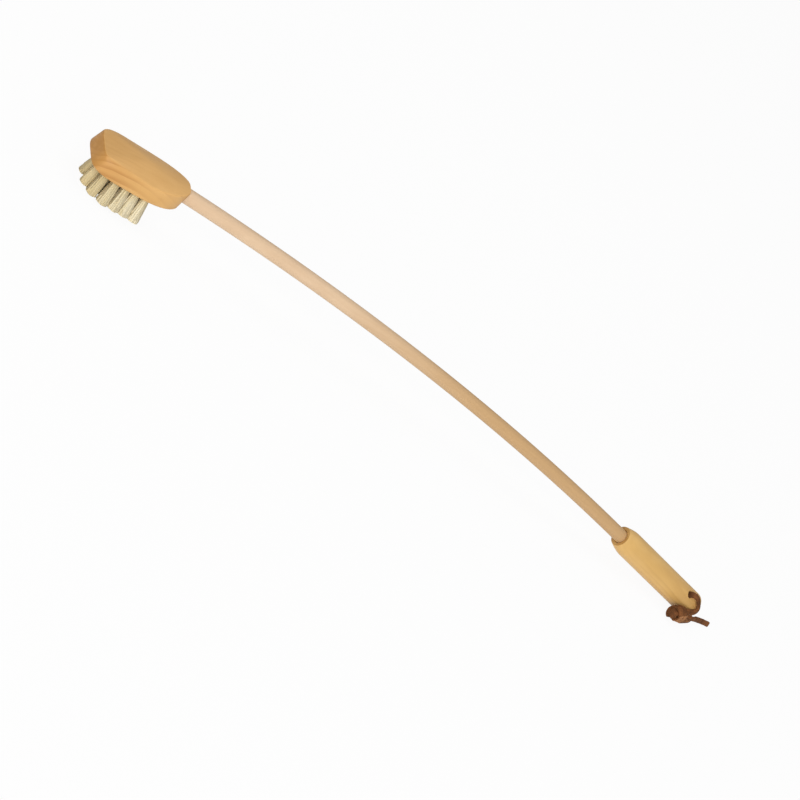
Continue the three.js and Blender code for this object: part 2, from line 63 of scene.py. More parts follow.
def make_camera():
    data = bpy.data.cameras.new("camera")
    data.sensor_width = SENSOR_MM
    data.lens = LENS_MM
    camera = bpy.data.objects.new("camera", data)
    scene.collection.objects.link(camera)
    right = CAMERA_FORWARD.cross(CAMERA_UP).normalized()
    up = right.cross(CAMERA_FORWARD)
    turn = Matrix((right, up, -CAMERA_FORWARD)).transposed()
    camera.matrix_world = Matrix.Translation(CAMERA_PLACE) @ turn.to_4x4()
    scene.camera = camera
    return camera


camera = make_camera()
print("camera at", [round(v, 3) for v in camera.location])

# %% [markdown]
# ## The brush's own frame
# The sizes are easiest in millimetres in a frame of the brush's own: x runs along the head towards
# the grip, the rod leaves the block at x = 0, and the bristles point down. The brush stands tipped
# on its bristle tips and its tail, so one turn about y and one shift bring that frame into the scene.

# %% From the brush's frame to the scene and back
MM = 0.001
TIP_ANGLE = -0.0976848
TIP_SHIFT = np.array([-289.3805, 0.0, 37.7076])


def about_y(angle):
    cos, sin = math.cos(angle), math.sin(angle)
    return np.array([[cos, 0, sin], [0, 1, 0], [-sin, 0, cos]])


TIP_TURN = about_y(TIP_ANGLE)


def to_scene(points):
    return (np.asarray(points, float) @ TIP_TURN.T + TIP_SHIFT) * MM


def to_brush(points):
    return (np.asarray(points, float) / MM - TIP_SHIFT) @ TIP_TURN


print("rod leaves the block at", to_scene([[0, 0, 0]]).round(4).tolist())

# %% [markdown]
# ## Skins
# The thong, the block, the rod and the grip are all skins over a row of rings. One helper joins the
# rings with quads and closes each end with a fan, and another turns points and faces into an object
# that sits at the origin with its place in its mesh.

# %% Skins over rings


def skin(rings):
    rings = np.asarray(rings, float)
    rows, count = rings.shape[:2]
    points = [tuple(p) for p in rings.reshape(-1, 3)]
    faces = []
    for row in range(rows - 1):
        for k in range(count):
            a, b = row * count + k, row * count + (k + 1) % count
            faces.append((a, b, b + count, a + count))
    for row, flip in ((0, True), (rows - 1, False)):
        hub = len(points)
        points.append(tuple(rings[row].mean(axis=0)))
        for k in range(count):
            a, b = row * count + k, row * count + (k + 1) % count
            faces.append((hub, b, a) if flip else (hub, a, b))
    return points, faces


def new_piece(name, points, faces):
    mesh = bpy.data.meshes.new(name)
    mesh.from_pydata([tuple(p) for p in points], [], faces)
    mesh.update()
    mesh.polygons.foreach_set("use_smooth", [True] * len(mesh.polygons))
    piece = bpy.data.objects.new(name, mesh)
    scene.collection.objects.link(piece)
    return piece


print("helpers: skin, new_piece")

# %% [markdown]
# ## Thong: its route
# The thong is one flat leather lace through a slanted cross hole near the tail. Its long end comes
# out on top, hugs the near side, lies folded in two inside the knot and runs out past the tail. Its
# short end comes out below, lies round the tail with its grain side down and winds round the folded
# end. A bevelled curve would do for a round cord. A flat lace also has to know which way it faces,
# so each place on its route is a point and a facing. Points are measured in millimetres from the
# spot on the ground under the hole.

# %% The hole and the knot
LACE_WIDE, LACE_THICK = 5.0, 2.6
HOLE_MIDDLE = np.array([345.0621, 0.0, 13.6609])
UNDER_HOLE = np.array([HOLE_MIDDLE[0], 0, 0])
HOLE_TILT = math.radians(125)
TAIL_FALL = 0.1157
HOLE_LINE = np.array([
    math.sin(HOLE_TILT) * math.sin(TAIL_FALL),
    math.cos(HOLE_TILT),
    math.sin(HOLE_TILT) * math.cos(TAIL_FALL),
])
KNOT_FROM = np.array([7.2, -15.8, 10.5])
KNOT_TO = np.array([-10.8, -24.2, 7.1])
UPPER_FACING, LOWER_FACING = (-1, 0, 0), (-0.82, -0.51, -0.26)


def unit(vector):
    return np.asarray(vector, float) / np.linalg.norm(vector)


KNOT_LINE = unit(KNOT_TO - KNOT_FROM)
KNOT_UP = unit(np.array([0, 0, 1]) - KNOT_LINE * KNOT_LINE[2])
KNOT_ASIDE = np.cross(KNOT_LINE, KNOT_UP)


def in_hole(distance, facing):
    return HOLE_MIDDLE + HOLE_LINE * distance, unit(facing)


def from_hole(offset, facing):
    return UNDER_HOLE + np.array(offset), unit(facing)


def knot_way(along, up, aside):
    return KNOT_LINE * along + KNOT_UP * up + KNOT_ASIDE * aside


def in_knot(position, facing):
    return from_hole(KNOT_FROM + knot_way(*position), knot_way(*facing))


print("knot runs along", KNOT_LINE.round(3).tolist())

# %% The turns of the knot
KNOT_GAP, KNOT_SLACK = 0.95, 1.65
KNOT_ALONG, KNOT_TURNS, KNOT_START = 7, 1.8, math.radians(200)
TURN_GAP, TURN_POINTS = 0.9, 9
APART = LACE_THICK / 2 + KNOT_GAP
TURN_RISE = APART + LACE_THICK + KNOT_GAP
TURN_REACH = (LACE_WIDE + LACE_THICK) / 2 + KNOT_SLACK
TURNS_LENGTH = KNOT_TURNS * (LACE_WIDE + TURN_GAP)


def knot_turns():
    count = round(TURN_POINTS * KNOT_TURNS)
    places = []
    for k in range(count + 1):
        angle = KNOT_START - 2 * math.pi * KNOT_TURNS * k / count
        up, aside = math.sin(angle), math.cos(angle)
        along = KNOT_ALONG + TURNS_LENGTH * k / count
        places.append(in_knot((along, TURN_RISE * up, TURN_REACH * aside), (0, up, aside)))
    return places


turns = knot_turns()
print("places in the turns:", len(turns))

# %% The route of each end
MOUTH, STRAIGHT, TUCK = 12.2, 1.4, 1.5
KNOT_INNER = 6
FOLD_FROM = KNOT_ALONG + TURNS_LENGTH
FOLD_REACH = 2.8
FOLD_SHOULDER, SHOULDER_UP = FOLD_FROM + 0.63 * FOLD_REACH, 0.85 * APART
GROUND_LIFT = 0.2
ON_GROUND = LACE_THICK / 2 + GROUND_LIFT
GROUND_POINTS = [
    (7.4, 14.4), (13, 15.8), (21, 15.2), (28, 11.6), (32, 6), (31.4, -0.4), (26.6, -6),
    (20, -10.6), (13.4, -14.6),
]
long_route = [
    in_hole(MOUTH - TUCK, UPPER_FACING),
    in_hole(MOUTH, UPPER_FACING),
    in_hole(MOUTH + STRAIGHT, UPPER_FACING),
    from_hole((4, -9.2, 26.2), (-0.6, -0.3, 0.8)),
    from_hole((8.4, -9.8, 25.2), (0.1, -0.5, 0.85)),
    from_hole((12.4, -10.6, 22.6), (0.5, -0.55, 0.65)),
    from_hole((15.2, -12.6, 19.2), (0.5, -0.75, 0.4)),
    from_hole((14.6, -13.9, 15.8), (0.2, -0.9, 0.3)),
    from_hole((11.2, -14.8, 13.7), (0, -0.9, 0.45)),
    in_knot((0, APART, 0), (0, 0.7, -0.7)),
    in_knot((KNOT_INNER, APART, 0), (0, 1, 0)),
    in_knot((FOLD_FROM, APART, 0), (0, 1, 0)),
    in_knot((FOLD_SHOULDER, SHOULDER_UP, 0), (0.6, 1, 0)),
    in_knot((FOLD_FROM + FOLD_REACH, 0, 0), (1, 0, 0)),
    in_knot((FOLD_SHOULDER, -SHOULDER_UP, 0), (0.6, -1, 0)),
    in_knot((FOLD_FROM, -APART, 0), (0, -1, 0)),
    in_knot((KNOT_INNER, -APART, 0), (0, -1, 0)),
    in_knot((-0.5, -1.1 * APART, 0), (0, -1, -0.3)),
    from_hole((13.4, -15.8, 9), (-0.2, -0.9, -0.6)),
    from_hole((20.4, -13.4, 8.6), (-0.3, -0.9, 0)),
    from_hole((28, -8.6, 7.4), (-0.4, -0.8, 0.3)),
    from_hole((36, -4.2, 6), (-0.4, -0.8, 0.4)),
    from_hole((44, -0.2, 4.8), (-0.4, -0.8, 0.4)),
    from_hole((51.4, 3.2, 3.7), (-0.4, -0.8, 0.4)),
    from_hole((58.2, 5.8, 2.9), (-0.4, -0.8, 0.4)),
]
short_route = [
    in_hole(TUCK - MOUTH, LOWER_FACING),
    in_hole(-MOUTH, LOWER_FACING),
    from_hole((-1.05, 7.6, ON_GROUND + 1.6), (-0.79, -0.23, -0.57)),
    from_hole((-0.7, 8.3, ON_GROUND + 1.12), (-0.62, 0.09, -0.78)),
    from_hole((0, 9, ON_GROUND + 0.96), (-0.34, 0.35, -0.86)),
    from_hole((3.2, 11.8, ON_GROUND + 0.6), (-0.15, 0.15, -0.97)),
    *[from_hole((x, y, ON_GROUND), (0, 0, -1)) for x, y in GROUND_POINTS],
    from_hole((8.6, -17.6, ON_GROUND + 0.2), (0.05, -0.2, -1)),
    from_hole((4.4, -20.7, ON_GROUND + 1.4), (0.2, -0.7, -0.7)),
    *turns,
]
hole_route = [in_hole(TUCK - MOUTH, LOWER_FACING), in_hole(MOUTH - TUCK, UPPER_FACING)]
print("thong places:", len(long_route), "and", len(short_route))

# %% [markdown]
# ## Thong: the lace
# A centripetal spline goes through the points, because it never overshoots between close ones, and
# it is spread into even steps. The facing is carried along with it and kept square to the way ahead.
# The section is a rounded oblong. Leather that is pressed together bulges, so the lace swells inside
# the knot, and it twists there, so that its flesh side comes out on the knot's near lower side. Two
# attributes remember where each point is, the way along and the side of the strip, and the leather's
# finish reads them.

# %% Spline and even steps
SPLINE_STEPS = 24
LACE_STEP = 0.45


def centripetal(route):
    points, facings = (np.array(part) for part in zip(*route))
    p = np.concatenate([[2 * points[0] - points[1]], points, [2 * points[-1] - points[-2]]])
    share = np.linspace(0, 1, SPLINE_STEPS, endpoint=False)[:, None]
    line, facing = [], []
    for k in range(1, len(p) - 2):
        before, here, there, after = p[k - 1:k + 3]
        a, b, c = np.linalg.norm(np.diff(p[k - 1:k + 3], axis=0), axis=1) ** 0.5
        leave = ((here - before) / a - (there - before) / (a + b) + (there - here) / b) * b
        enter = ((there - here) / b - (after - here) / (b + c) + (after - there) / c) * b
        square = 3 * (there - here) - 2 * leave - enter
        cube = 2 * (here - there) + leave + enter
        line.append(here + leave * share + square * share**2 + cube * share**3)
        facing.append(facings[k - 1] * (1 - share) + facings[k] * share)
    return np.concatenate([*line, points[-1:]]), np.concatenate([*facing, facings[-1:]])


def even_steps(line, facing):
    gone = np.concatenate([[0], np.cumsum(np.linalg.norm(np.diff(line, axis=0), axis=1))])
    at = np.linspace(0, gone[-1], max(2, round(gone[-1] / LACE_STEP) + 1))
    line, facing = (
        np.stack([np.interp(at, gone, row) for row in part.T], axis=1) for part in (line, facing)
    )
    ahead = np.gradient(line, axis=0)
    ahead /= np.linalg.norm(ahead, axis=1)[:, None]
    facing -= ahead * np.sum(facing * ahead, axis=1)[:, None]
    facing /= np.linalg.norm(facing, axis=1)[:, None]
    return line, facing, np.cross(facing, ahead), at


print("steps on the long end:", len(even_steps(*centripetal(long_route))[0]))

# %% Section, swelling and twist
LACE_CORNERS, LACE_SQUARENESS = 24, 3.4
KNOT_HEART = UNDER_HOLE + (KNOT_FROM + KNOT_TO) / 2
KNOT_TIP = UNDER_HOLE + KNOT_TO
KNOT_SWELL, KNOT_EDGE, KNOT_CORE = 0.14, 15, 9
FOLD_SWELL, FOLD_EDGE, FOLD_CORE = 0.34, 12, 6
FLESH_WAY, FLESH_FROM, FLESH_FULL = np.array([0.48, -0.69, -0.55]), 0.3, 2.2
FLESH_EDGE, FLESH_CORE = 15, 12
WOBBLE, WOBBLE_WAVE, WOBBLE_BEAT, WOBBLE_START = 0.03, 0.9, 0.37, 1
RIPPLE, RIPPLE_WAVE = 0.1, 2.3
END_PINCH = 0.92


def smooth_step(low, high, value):
    share = np.clip((np.asarray(value, float) - low) / (high - low), 0, 1)
    return share * share * (3 - 2 * share)


def lace_section():
    turn = np.linspace(0, 2 * math.pi, LACE_CORNERS, endpoint=False)
    power = 2 / LACE_SQUARENESS
    wide = np.sign(np.cos(turn)) * np.abs(np.cos(turn)) ** power * LACE_WIDE / 2
    thick = np.sign(np.sin(turn)) * np.abs(np.sin(turn)) ** power * LACE_THICK / 2
    return wide, thick


def flesh_out(line):
    near = smooth_step(FLESH_EDGE, FLESH_CORE, np.linalg.norm(line - KNOT_HEART, axis=1))
    return near * smooth_step(FLESH_FROM, FLESH_FULL, (line - KNOT_HEART) @ FLESH_WAY)


def lace_swell(line, gone, turned, fold_swell):
    from_knot = np.linalg.norm(line - KNOT_HEART, axis=1)
    from_fold = np.linalg.norm(line - KNOT_TIP, axis=1)
    beat = np.sin(gone * WOBBLE_BEAT + WOBBLE_START)
    swell = 1 + WOBBLE * np.sin(gone * WOBBLE_WAVE) * beat
    swell += RIPPLE * turned * np.sin(gone * RIPPLE_WAVE)
    swell += KNOT_SWELL * smooth_step(KNOT_EDGE, KNOT_CORE, from_knot)
    swell += fold_swell * smooth_step(FOLD_EDGE, FOLD_CORE, from_fold)
    swell[-1] *= END_PINCH
    return swell


print("lace corners:", len(lace_section()[0]))

# %% Make the lace
GROUND_GAP = 0.05


def store(piece, name, values, kind="FLOAT_VECTOR"):
    field = "vector" if kind == "FLOAT_VECTOR" else "value"
    attribute = piece.data.attributes.new(name, kind, "POINT")
    attribute.data.foreach_set(field, np.asarray(values, np.float32).ravel())


def make_lace(name, route, fold_swell=0.0, flesh=0.0):
    line, outward, across, gone = even_steps(*centripetal(route))
    wide, thick = lace_section()
    turned = flesh * flesh_out(line)
    swell = lace_swell(line, gone, turned, fold_swell)
    rings = line[:, None] + swell[:, None, None] * (
        across[:, None] * wide[None, :, None] + outward[:, None] * thick[None, :, None]
    )
    rings[..., 2] = np.maximum(rings[..., 2], GROUND_GAP)
    piece = new_piece(name, *skin(rings * MM))
    strip_side = (thick / thick.max())[None] * (1 - 2 * turned[:, None])
    along, side = np.broadcast_arrays(gone[:, None], strip_side)
    store(piece, "lace_along", [*along.ravel(), gone[0], gone[-1]], "FLOAT")
    store(piece, "lace_side", [*side.ravel(), 0, 0], "FLOAT")
    return piece, line * MM, gone[-1] * MM


long_lace, long_line, long_length = make_lace("thong_long_end", long_route, FOLD_SWELL)
short_lace, short_line, short_length = make_lace("thong_short_end", short_route, flesh=1.0)
hole_lace, _, hole_length = make_lace("thong_in_hole", hole_route)
print("lace in mm:", [round(v / MM, 1) for v in (long_length, short_length, hole_length)])

# %% [markdown]
# ## Shader wires
# A material is a graph of nodes. Each node could be added and linked line by line, but then its maths
# is hard to follow, so it is written as Python here. A Wire holds one output socket, and adding or
# multiplying wires adds Math nodes. Every other node comes from the one method add, which takes the
# node's type, its settings and what goes into its sockets.

# %% Wires
MIX_UNDER, MIX_OVER, MIX_RESULT = 6, 7, 2  # a Mix node's sockets for colours


class Wire:
    def __init__(self, tree, socket=None):
        self.tree = tree
        self.socket = socket

    def add(self, kind, settings=None, sockets=None, out=0):
        node = self.tree.nodes.new(kind)
        for key, value in (settings or {}).items():
            setattr(node, key, value)
        plug_in(node, sockets or {})
        return Wire(self.tree, node.outputs[out])

    def output(self, name):
        return Wire(self.tree, self.socket.node.outputs[name])

    def maths(self, operation, first, second=0.0):
        return self.add("ShaderNodeMath", {"operation": operation}, {0: first, 1: second})

    def __add__(self, other):
        return self.maths("ADD", self, other)

    def __sub__(self, other):
        return self.maths("SUBTRACT", self, other)

    def __rsub__(self, other):
        return self.maths("SUBTRACT", other, self)

    def __mul__(self, other):
        return self.maths("MULTIPLY", self, other)

    def __truediv__(self, other):
        return self.maths("DIVIDE", self, other)

    def __pow__(self, other):
        return self.maths("POWER", self, other)

    __radd__ = __add__
    __rmul__ = __mul__

    def vector(self, operation, other, out=0):
        settings = {"operation": operation}
        return self.add("ShaderNodeVectorMath", settings, {0: self, 1: other}, out)

    def scaled(self, factor):
        settings = {"operation": "SCALE"}
        return self.add("ShaderNodeVectorMath", settings, {0: self, "Scale": factor})

    def split(self):
        node = self.add("ShaderNodeSeparateXYZ", None, {0: self}).socket.node
        return [Wire(self.tree, socket) for socket in node.outputs]

    def join(self, y, z):
        return self.add("ShaderNodeCombineXYZ", None, {0: self, 1: y, 2: z})

    def stored(self, name, out="Fac"):
        return self.add("ShaderNodeAttribute", {"attribute_name": name}, None, out)

    def place(self):
        return self.add("ShaderNodeTexCoord", None, None, "Object")

    def noise(self, scale, detail=2.0, roughness=0.5):
        sockets = {"Vector": self, "Scale": scale, "Detail": detail, "Roughness": roughness}
        return self.add("ShaderNodeTexNoise", None, sockets)

    def between(self, low, high):
        sockets = {"Value": self, "From Min": low, "From Max": high}
        return self.add("ShaderNodeMapRange", {"interpolation_type": "SMOOTHSTEP"}, sockets)

    def paint(self, under, over):
        settings = {"data_type": "RGBA", "blend_type": "MIX"}
        sockets = {0: self, MIX_UNDER: under, MIX_OVER: over}
        return self.add("ShaderNodeMix", settings, sockets, MIX_RESULT)

    def bump(self, strength, distance):
        sockets = {"Height": self, "Strength": strength, "Distance": distance}
        return self.add("ShaderNodeBump", None, sockets)


def plug_in(node, sockets):
    for key, value in sockets.items():
        if isinstance(value, Wire):
            value.tree.links.new(value.socket, node.inputs[key])
        else:
            node.inputs[key].default_value = value


print("wires ready")

# %% Colours and fresh materials


def colour(red, green, blue):
    """A colour as a screen writes it, 0 to 255, in the linear values that a shader needs."""
    parts = [c / 255 for c in (red, green, blue)]
    return (*[c / 12.92 if c <= 0.04045 else ((c + 0.055) / 1.055) ** 2.4 for c in parts], 1.0)


def new_finish(name):
    """A fresh material: its shader's node, and a loose wire to start from."""
    material = bpy.data.materials.new(name)
    material.use_nodes = True
    shader = material.node_tree.nodes["Principled BSDF"]
    return material, shader, Wire(material.node_tree)


print("middle grey in a shader:", round(colour(128, 128, 128)[0], 3))

# %% [markdown]
# ## Leather
# The lace is cut from dark brown hide. Its grain side is smooth and worn, its flesh side is a paler,
# reddish suede, and both have fine cross creases. An image would be one way to paint it. Here noise
# makes the worn patches, noise drawn out across the lace makes the creases, and the stored side of
# the strip tells grain from suede.

# %% Leather finish
HIDE_DEEP, HIDE_WORN = colour(98, 62, 36), colour(130, 82, 47)
CREASE_BROWN, SUEDE, FUZZ_BROWN = colour(64, 39, 26), colour(188, 134, 90), colour(146, 95, 58)
CREASE_STRETCH = (2.6, 0.5, 1.0)


def leather_finish():
    material, shader, wire = new_finish("leather_finish")
    place = wire.place()
    along, side = wire.stored("lace_along"), wire.stored("lace_side")
    patches = place.noise(scale=140, detail=3).between(0.38, 0.66)
    fuzz = place.noise(scale=1100, detail=3, roughness=0.6)
    strip = along.join(side, 0.0).vector("MULTIPLY", CREASE_STRETCH)
    creases = strip.noise(scale=1.0, detail=3, roughness=0.6)
    suede = (side * 0.5 + 0.5).between(0.3, 0.02) * (0.6 + 0.4 * patches)
    hide = patches.paint(HIDE_DEEP, HIDE_WORN)
    hide = (creases.between(0.5, 0.72) * 0.5).paint(hide, CREASE_BROWN)
    whole = suede.paint(hide, SUEDE)
    whole = (fuzz.between(0.45, 0.75) * 0.25).paint(whole, FUZZ_BROWN)
    height = creases * 0.6 + fuzz * 0.4
    plug_in(shader, {
        "Base Color": whole,
        "Roughness": 0.72 + 0.2 * fuzz,
        "Normal": height.bump(strength=0.55, distance=0.0004),
        "Specular IOR Level": 0.12,
    })
    return material


leather = leather_finish()
for piece, node in (
    (long_lace, "thong_long"), (short_lace, "thong_short"), (hole_lace, "thong_through"),
):
    piece.data.materials.append(leather)
    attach(piece, "root")
    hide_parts(node)
print("leather on", [p.name for p in (long_lace, short_lace, hole_lace)])

# %% [markdown]
# ## Head block: its form
# The block is an oblong of wood, square at its free end and rounded where the rod enters, with a
# crowned back and a slight waist. Its walls lean in towards the back, most of all at the free end.
# Subdividing a box would give soft, even edges. This block has a crisp crease along its back, which
# melts into a round corner at the free end, rounder on the near side. So each point of the outline
# gets its own profile: up the wall, round a bend of its own size, and over the crown.

# %% Head block sizes
BLOCK_LENGTH, BLOCK_WIDTH = 79, 44
BLOCK_SIDE, BLOCK_CROWN, CROWN_FULLNESS = 14, 5.4, 1.6
NECK_RISE = 4.2
FREE_SQUARENESS, ROD_SQUARENESS = 4.2, 2.05
FREE_FLARE, BLOCK_WAIST = 0.03, 0.03
END_SLOPE, END_SLOPE_POWER, SIDE_SLOPE = 2.8, 3, 0.5
END_CUT = 2
ROD_HEIGHT = 10.6
OUTLINE = 176
BLOCK_BOTTOM = -ROD_HEIGHT
HALF_LENGTH, HALF_WIDTH = (BLOCK_LENGTH + END_CUT) / 2, BLOCK_WIDTH / 2
BLOCK_MIDDLE = HALF_LENGTH - BLOCK_LENGTH


def block_outline():
    turn = np.linspace(0, 2 * math.pi, OUTLINE, endpoint=False)
    cos, sin = np.cos(turn), np.sin(turn)
    power = 2 / np.where(cos > 0, ROD_SQUARENESS, FREE_SQUARENESS)
    return np.sign(cos) * np.abs(cos) ** power, np.sign(sin) * np.abs(sin) ** power


ALONG, ACROSS = block_outline()
WAIST = (1 - BLOCK_WAIST * np.cos(math.pi / 2 * ALONG) ** 2) * (1 - FREE_FLARE * ALONG)


def block_ring(inset, lean, share, height):
    end_slope = lean * END_SLOPE * np.maximum(0, -ALONG) ** END_SLOPE_POWER
    x = BLOCK_MIDDLE + share * (ALONG * (HALF_LENGTH - inset) + end_slope)
    y = ACROSS * share * (WAIST * (HALF_WIDTH - inset) - lean * SIDE_SLOPE)
    return np.stack([x, y, BLOCK_BOTTOM + height + 0 * x], axis=1)


def side_top(along):
    return BLOCK_SIDE + NECK_RISE * np.maximum(0, along) ** 2


def crown_ring(share):
    rise = BLOCK_CROWN * (1 - share**CROWN_FULLNESS)
    return block_ring(0, 1, share, side_top(ALONG * share) + rise)


print("outline points:", OUTLINE)

# %% Head block rings
BOTTOM_ROUND = 2.5
CREASE, NEAR_CORNER, FAR_CORNER = 1.0, 4.6, 1.6
CORNER_ALONG, CORNER_ACROSS = (0.1, -0.7), (0.6, 0.92)
BOTTOM_RINGS, WALL_RINGS, BEND_RINGS, CROWN_RINGS = 7, 5, 9, 26


def block_rings():
    rings = []
    for turn in np.linspace(math.pi / 2, 0, BOTTOM_RINGS):
        inset, height = BOTTOM_ROUND * (1 - math.cos(turn)), BOTTOM_ROUND * (1 - math.sin(turn))
        rings.append(block_ring(inset, height / BLOCK_SIDE, 1, height))
    foot = rings[-1]
    crease = block_ring(0, 1, 1, side_top(ALONG))
    corner = smooth_step(*CORNER_ALONG, ALONG) * smooth_step(*CORNER_ACROSS, np.abs(ACROSS))
    size = CREASE + np.where(ACROSS < 0, NEAR_CORNER, FAR_CORNER) * corner
    down = (size / (side_top(ALONG) - BOTTOM_ROUND))[:, None]
    wall = crease * (1 - down) + foot * down
    shrink = 1 - size / np.hypot(ALONG * HALF_LENGTH, ACROSS * WAIST * HALF_WIDTH)
    over = crown_ring(shrink)
    for share in np.linspace(0, 1, WALL_RINGS + 1)[1:]:
        rings.append(foot * (1 - share) + wall * share)
    for t in np.linspace(0, 1, BEND_RINGS + 1)[1:]:
        rings.append(wall * (1 - t) ** 2 + crease * 2 * t * (1 - t) + over * t**2)
    for step in range(1, CROWN_RINGS):
        rings.append(crown_ring(shrink * math.cos(math.pi / 2 * step / CROWN_RINGS)))
    return np.array(rings)


block_shape = block_rings()
print("block rings:", len(block_shape))

# %% Head block skin
ROD_SLANT = math.radians(1.7)
FLAT_ROUND, FLAT_REACH, FLAT_SETBACK = 0.7, 6, 6


def cut_flat(points):
    """Presses what lies past the flat at the rod's end back to it, with a small round at its rim."""
    normal = np.array([math.cos(ROD_SLANT), 0, -math.sin(ROD_SLANT)])
    past = points @ normal
    pressed = 0.5 * (past - np.sqrt(past**2 + FLAT_ROUND**2)) + FLAT_ROUND / FLAT_SETBACK
    near = past > -FLAT_REACH * FLAT_ROUND
    return points + np.where(near, np.minimum(pressed, 0) - past, 0)[..., None] * normal


block_points, block_faces = skin(cut_flat(block_shape))
head = new_piece("head_block_wood", to_scene(block_points), block_faces)
print("block skin faces:", len(block_faces))

# %% [markdown]
# ## Head block: the tuft holes
# Each tuft sits in a blind hole drilled into the bottom. The holes could be painted as dark dots,
# but they show from below, so they are cut: one object holds all the drills, and an exact Boolean
# takes it away from the block.

# %% Tuft places
TUFT_PITCH, SIDE_ROW = 8.5, 14.4
ROW_TUFTS, CURVE_TUFTS = 3, 3
CURVE_REACH, INNER_CURVE = 18, 0.7
FIELD_END = -28
CURVE_MIDDLE = FIELD_END - TUFT_PITCH * (ROW_TUFTS - 0.5)


def tuft_places():
    places = []
    for side in (-1, 1):
        for k in range(CURVE_TUFTS):
            angle = (k + 0.5) / CURVE_TUFTS * math.pi / 2
            x = CURVE_MIDDLE - CURVE_REACH * math.cos(angle)
            places.append((x, side * SIDE_ROW * math.sin(angle)))
        for k in range(ROW_TUFTS):
            places.append((FIELD_END - TUFT_PITCH * k, side * SIDE_ROW))
            places.append((FIELD_END - TUFT_PITCH * (k + 0.5), side * SIDE_ROW / 2))
        places.append((CURVE_MIDDLE - TUFT_PITCH, side * SIDE_ROW / 2 * INNER_CURVE))
    places.extend((FIELD_END - TUFT_PITCH * k, 0) for k in range(ROW_TUFTS + 2))
    return np.array(places)


tufts = tuft_places()
print("tufts:", len(tufts))

# %% Drill the tuft holes
TUFT_DIAMETER, HOLE_PLAY, HOLE_DEPTH = 4, 0.3, 8.6
HOLE_RADIUS = TUFT_DIAMETER / 2 + HOLE_PLAY
RIM_FLARE, RIM_DEPTH, DRILL_BELOW = 1.25, 0.35, 1.0
DRILL_SIDES = 20
SHARP_ANGLE = math.radians(38)


def ring_about(x, y, radius, z):
    turn = np.linspace(0, 2 * math.pi, DRILL_SIDES, endpoint=False)
    return np.stack([x + radius * np.cos(turn), y + radius * np.sin(turn), z + 0 * turn], axis=1)


def drills(places):
    points, faces = [], []
    profile = [(RIM_FLARE, -DRILL_BELOW), (RIM_FLARE, 0.0), (1.0, RIM_DEPTH), (1.0, HOLE_DEPTH)]
    for x, y in places:
        more_points, more_faces = skin([
            ring_about(x, y, HOLE_RADIUS * wide, BLOCK_BOTTOM + up) for wide, up in profile
        ])
        faces.extend(tuple(i + len(points) for i in face) for face in more_faces)
        points.extend(more_points)
    return points, faces


def settle(piece, modifier):
    """Turns a piece and its modifier into a plain mesh."""
    evaluated = piece.evaluated_get(bpy.context.evaluated_depsgraph_get())
    mesh = bpy.data.meshes.new_from_object(evaluated)
    piece.modifiers.remove(modifier)
    old, piece.data = piece.data, mesh
    bpy.data.meshes.remove(old)
    mesh.name = piece.name
    return mesh


def take_away(piece, points, faces):
    drill = new_piece("drill", points, faces)
    cut = piece.modifiers.new("cut", "BOOLEAN")
    cut.object = drill
    cut.operation = "DIFFERENCE"
    cut.solver = "EXACT"
    mesh = settle(piece, cut)
    bpy.data.objects.remove(drill)
    mesh.set_sharp_from_angle(angle=SHARP_ANGLE)


drill_points, drill_faces = drills(tufts)
take_away(head, to_scene(drill_points), drill_faces)
print("block faces after drilling:", len(head.data.polygons))

# %% [markdown]
# ## Head block: its grain
# The finish has to know how the wood lies in the block. Object coordinates would do for a straight
# piece on its own axes, but this brush is tipped. So each point keeps its place in the brush's own
# frame, in an attribute named grain, and an attribute named cut says how far its surface cuts across
# the fibres, and how far it belongs to the back.

# %% Grain of the block
BLOCK_END_CUT, BLOCK_BACK_CUT = (0.55, 0.9), (0.6, 0.9)


def read_vectors(rows, field):
    flat = np.zeros(len(rows) * 3, np.float32)
    rows.foreach_get(field, flat)
    return flat.reshape(-1, 3).astype(float)


def mesh_points(piece):
    return read_vectors(piece.data.vertices, "co")


def mesh_normals(piece):
    return read_vectors(piece.data.vertex_normals, "vector")


def store_cut(piece, end, back):
    store(piece, "cut", np.stack([end, back, 0 * end], axis=1))


store(head, "grain", to_brush(mesh_points(head)))
heading = mesh_normals(head) @ TIP_TURN
end_cut = smooth_step(*BLOCK_END_CUT, np.abs(heading[:, 0]))
store_cut(head, end_cut, smooth_step(*BLOCK_BACK_CUT, heading[:, 2]))
print("points on end grain:", int((end_cut > 0.5).sum()))

# %% [markdown]
# ## Rod
# The rod is a steamed and bent dowel. A Simple Deform modifier on a cylinder would do, but the bend
# is a plain arc, so its rings are set along the arc directly. Each point also keeps where it lay in
# the straight dowel, in its grain, so that the wood's fibres follow the bend.

# %% Rod
ROD_DIAMETER, ROD_LENGTH = 12, 537
ROD_RADIUS = ROD_DIAMETER / 2
ROD_BEND = math.radians(10.5)
ROD_SOCKET = 30
ROD_SIDES, ROD_RINGS = 56, 150
ROD_ROUND, ROUND_STEPS = 0.5, 6
ROD_START = 0.08
CURVATURE = ROD_BEND / ROD_LENGTH


def rod_axis(s):
    bent = np.clip(s, 0, ROD_LENGTH)
    fall = ROD_SLANT + CURVATURE * bent
    x = (np.sin(fall) - math.sin(ROD_SLANT)) / CURVATURE + (s - bent) * np.cos(fall)
    z = (np.cos(fall) - math.cos(ROD_SLANT)) / CURVATURE - (s - bent) * np.sin(fall)
    return x, z, fall


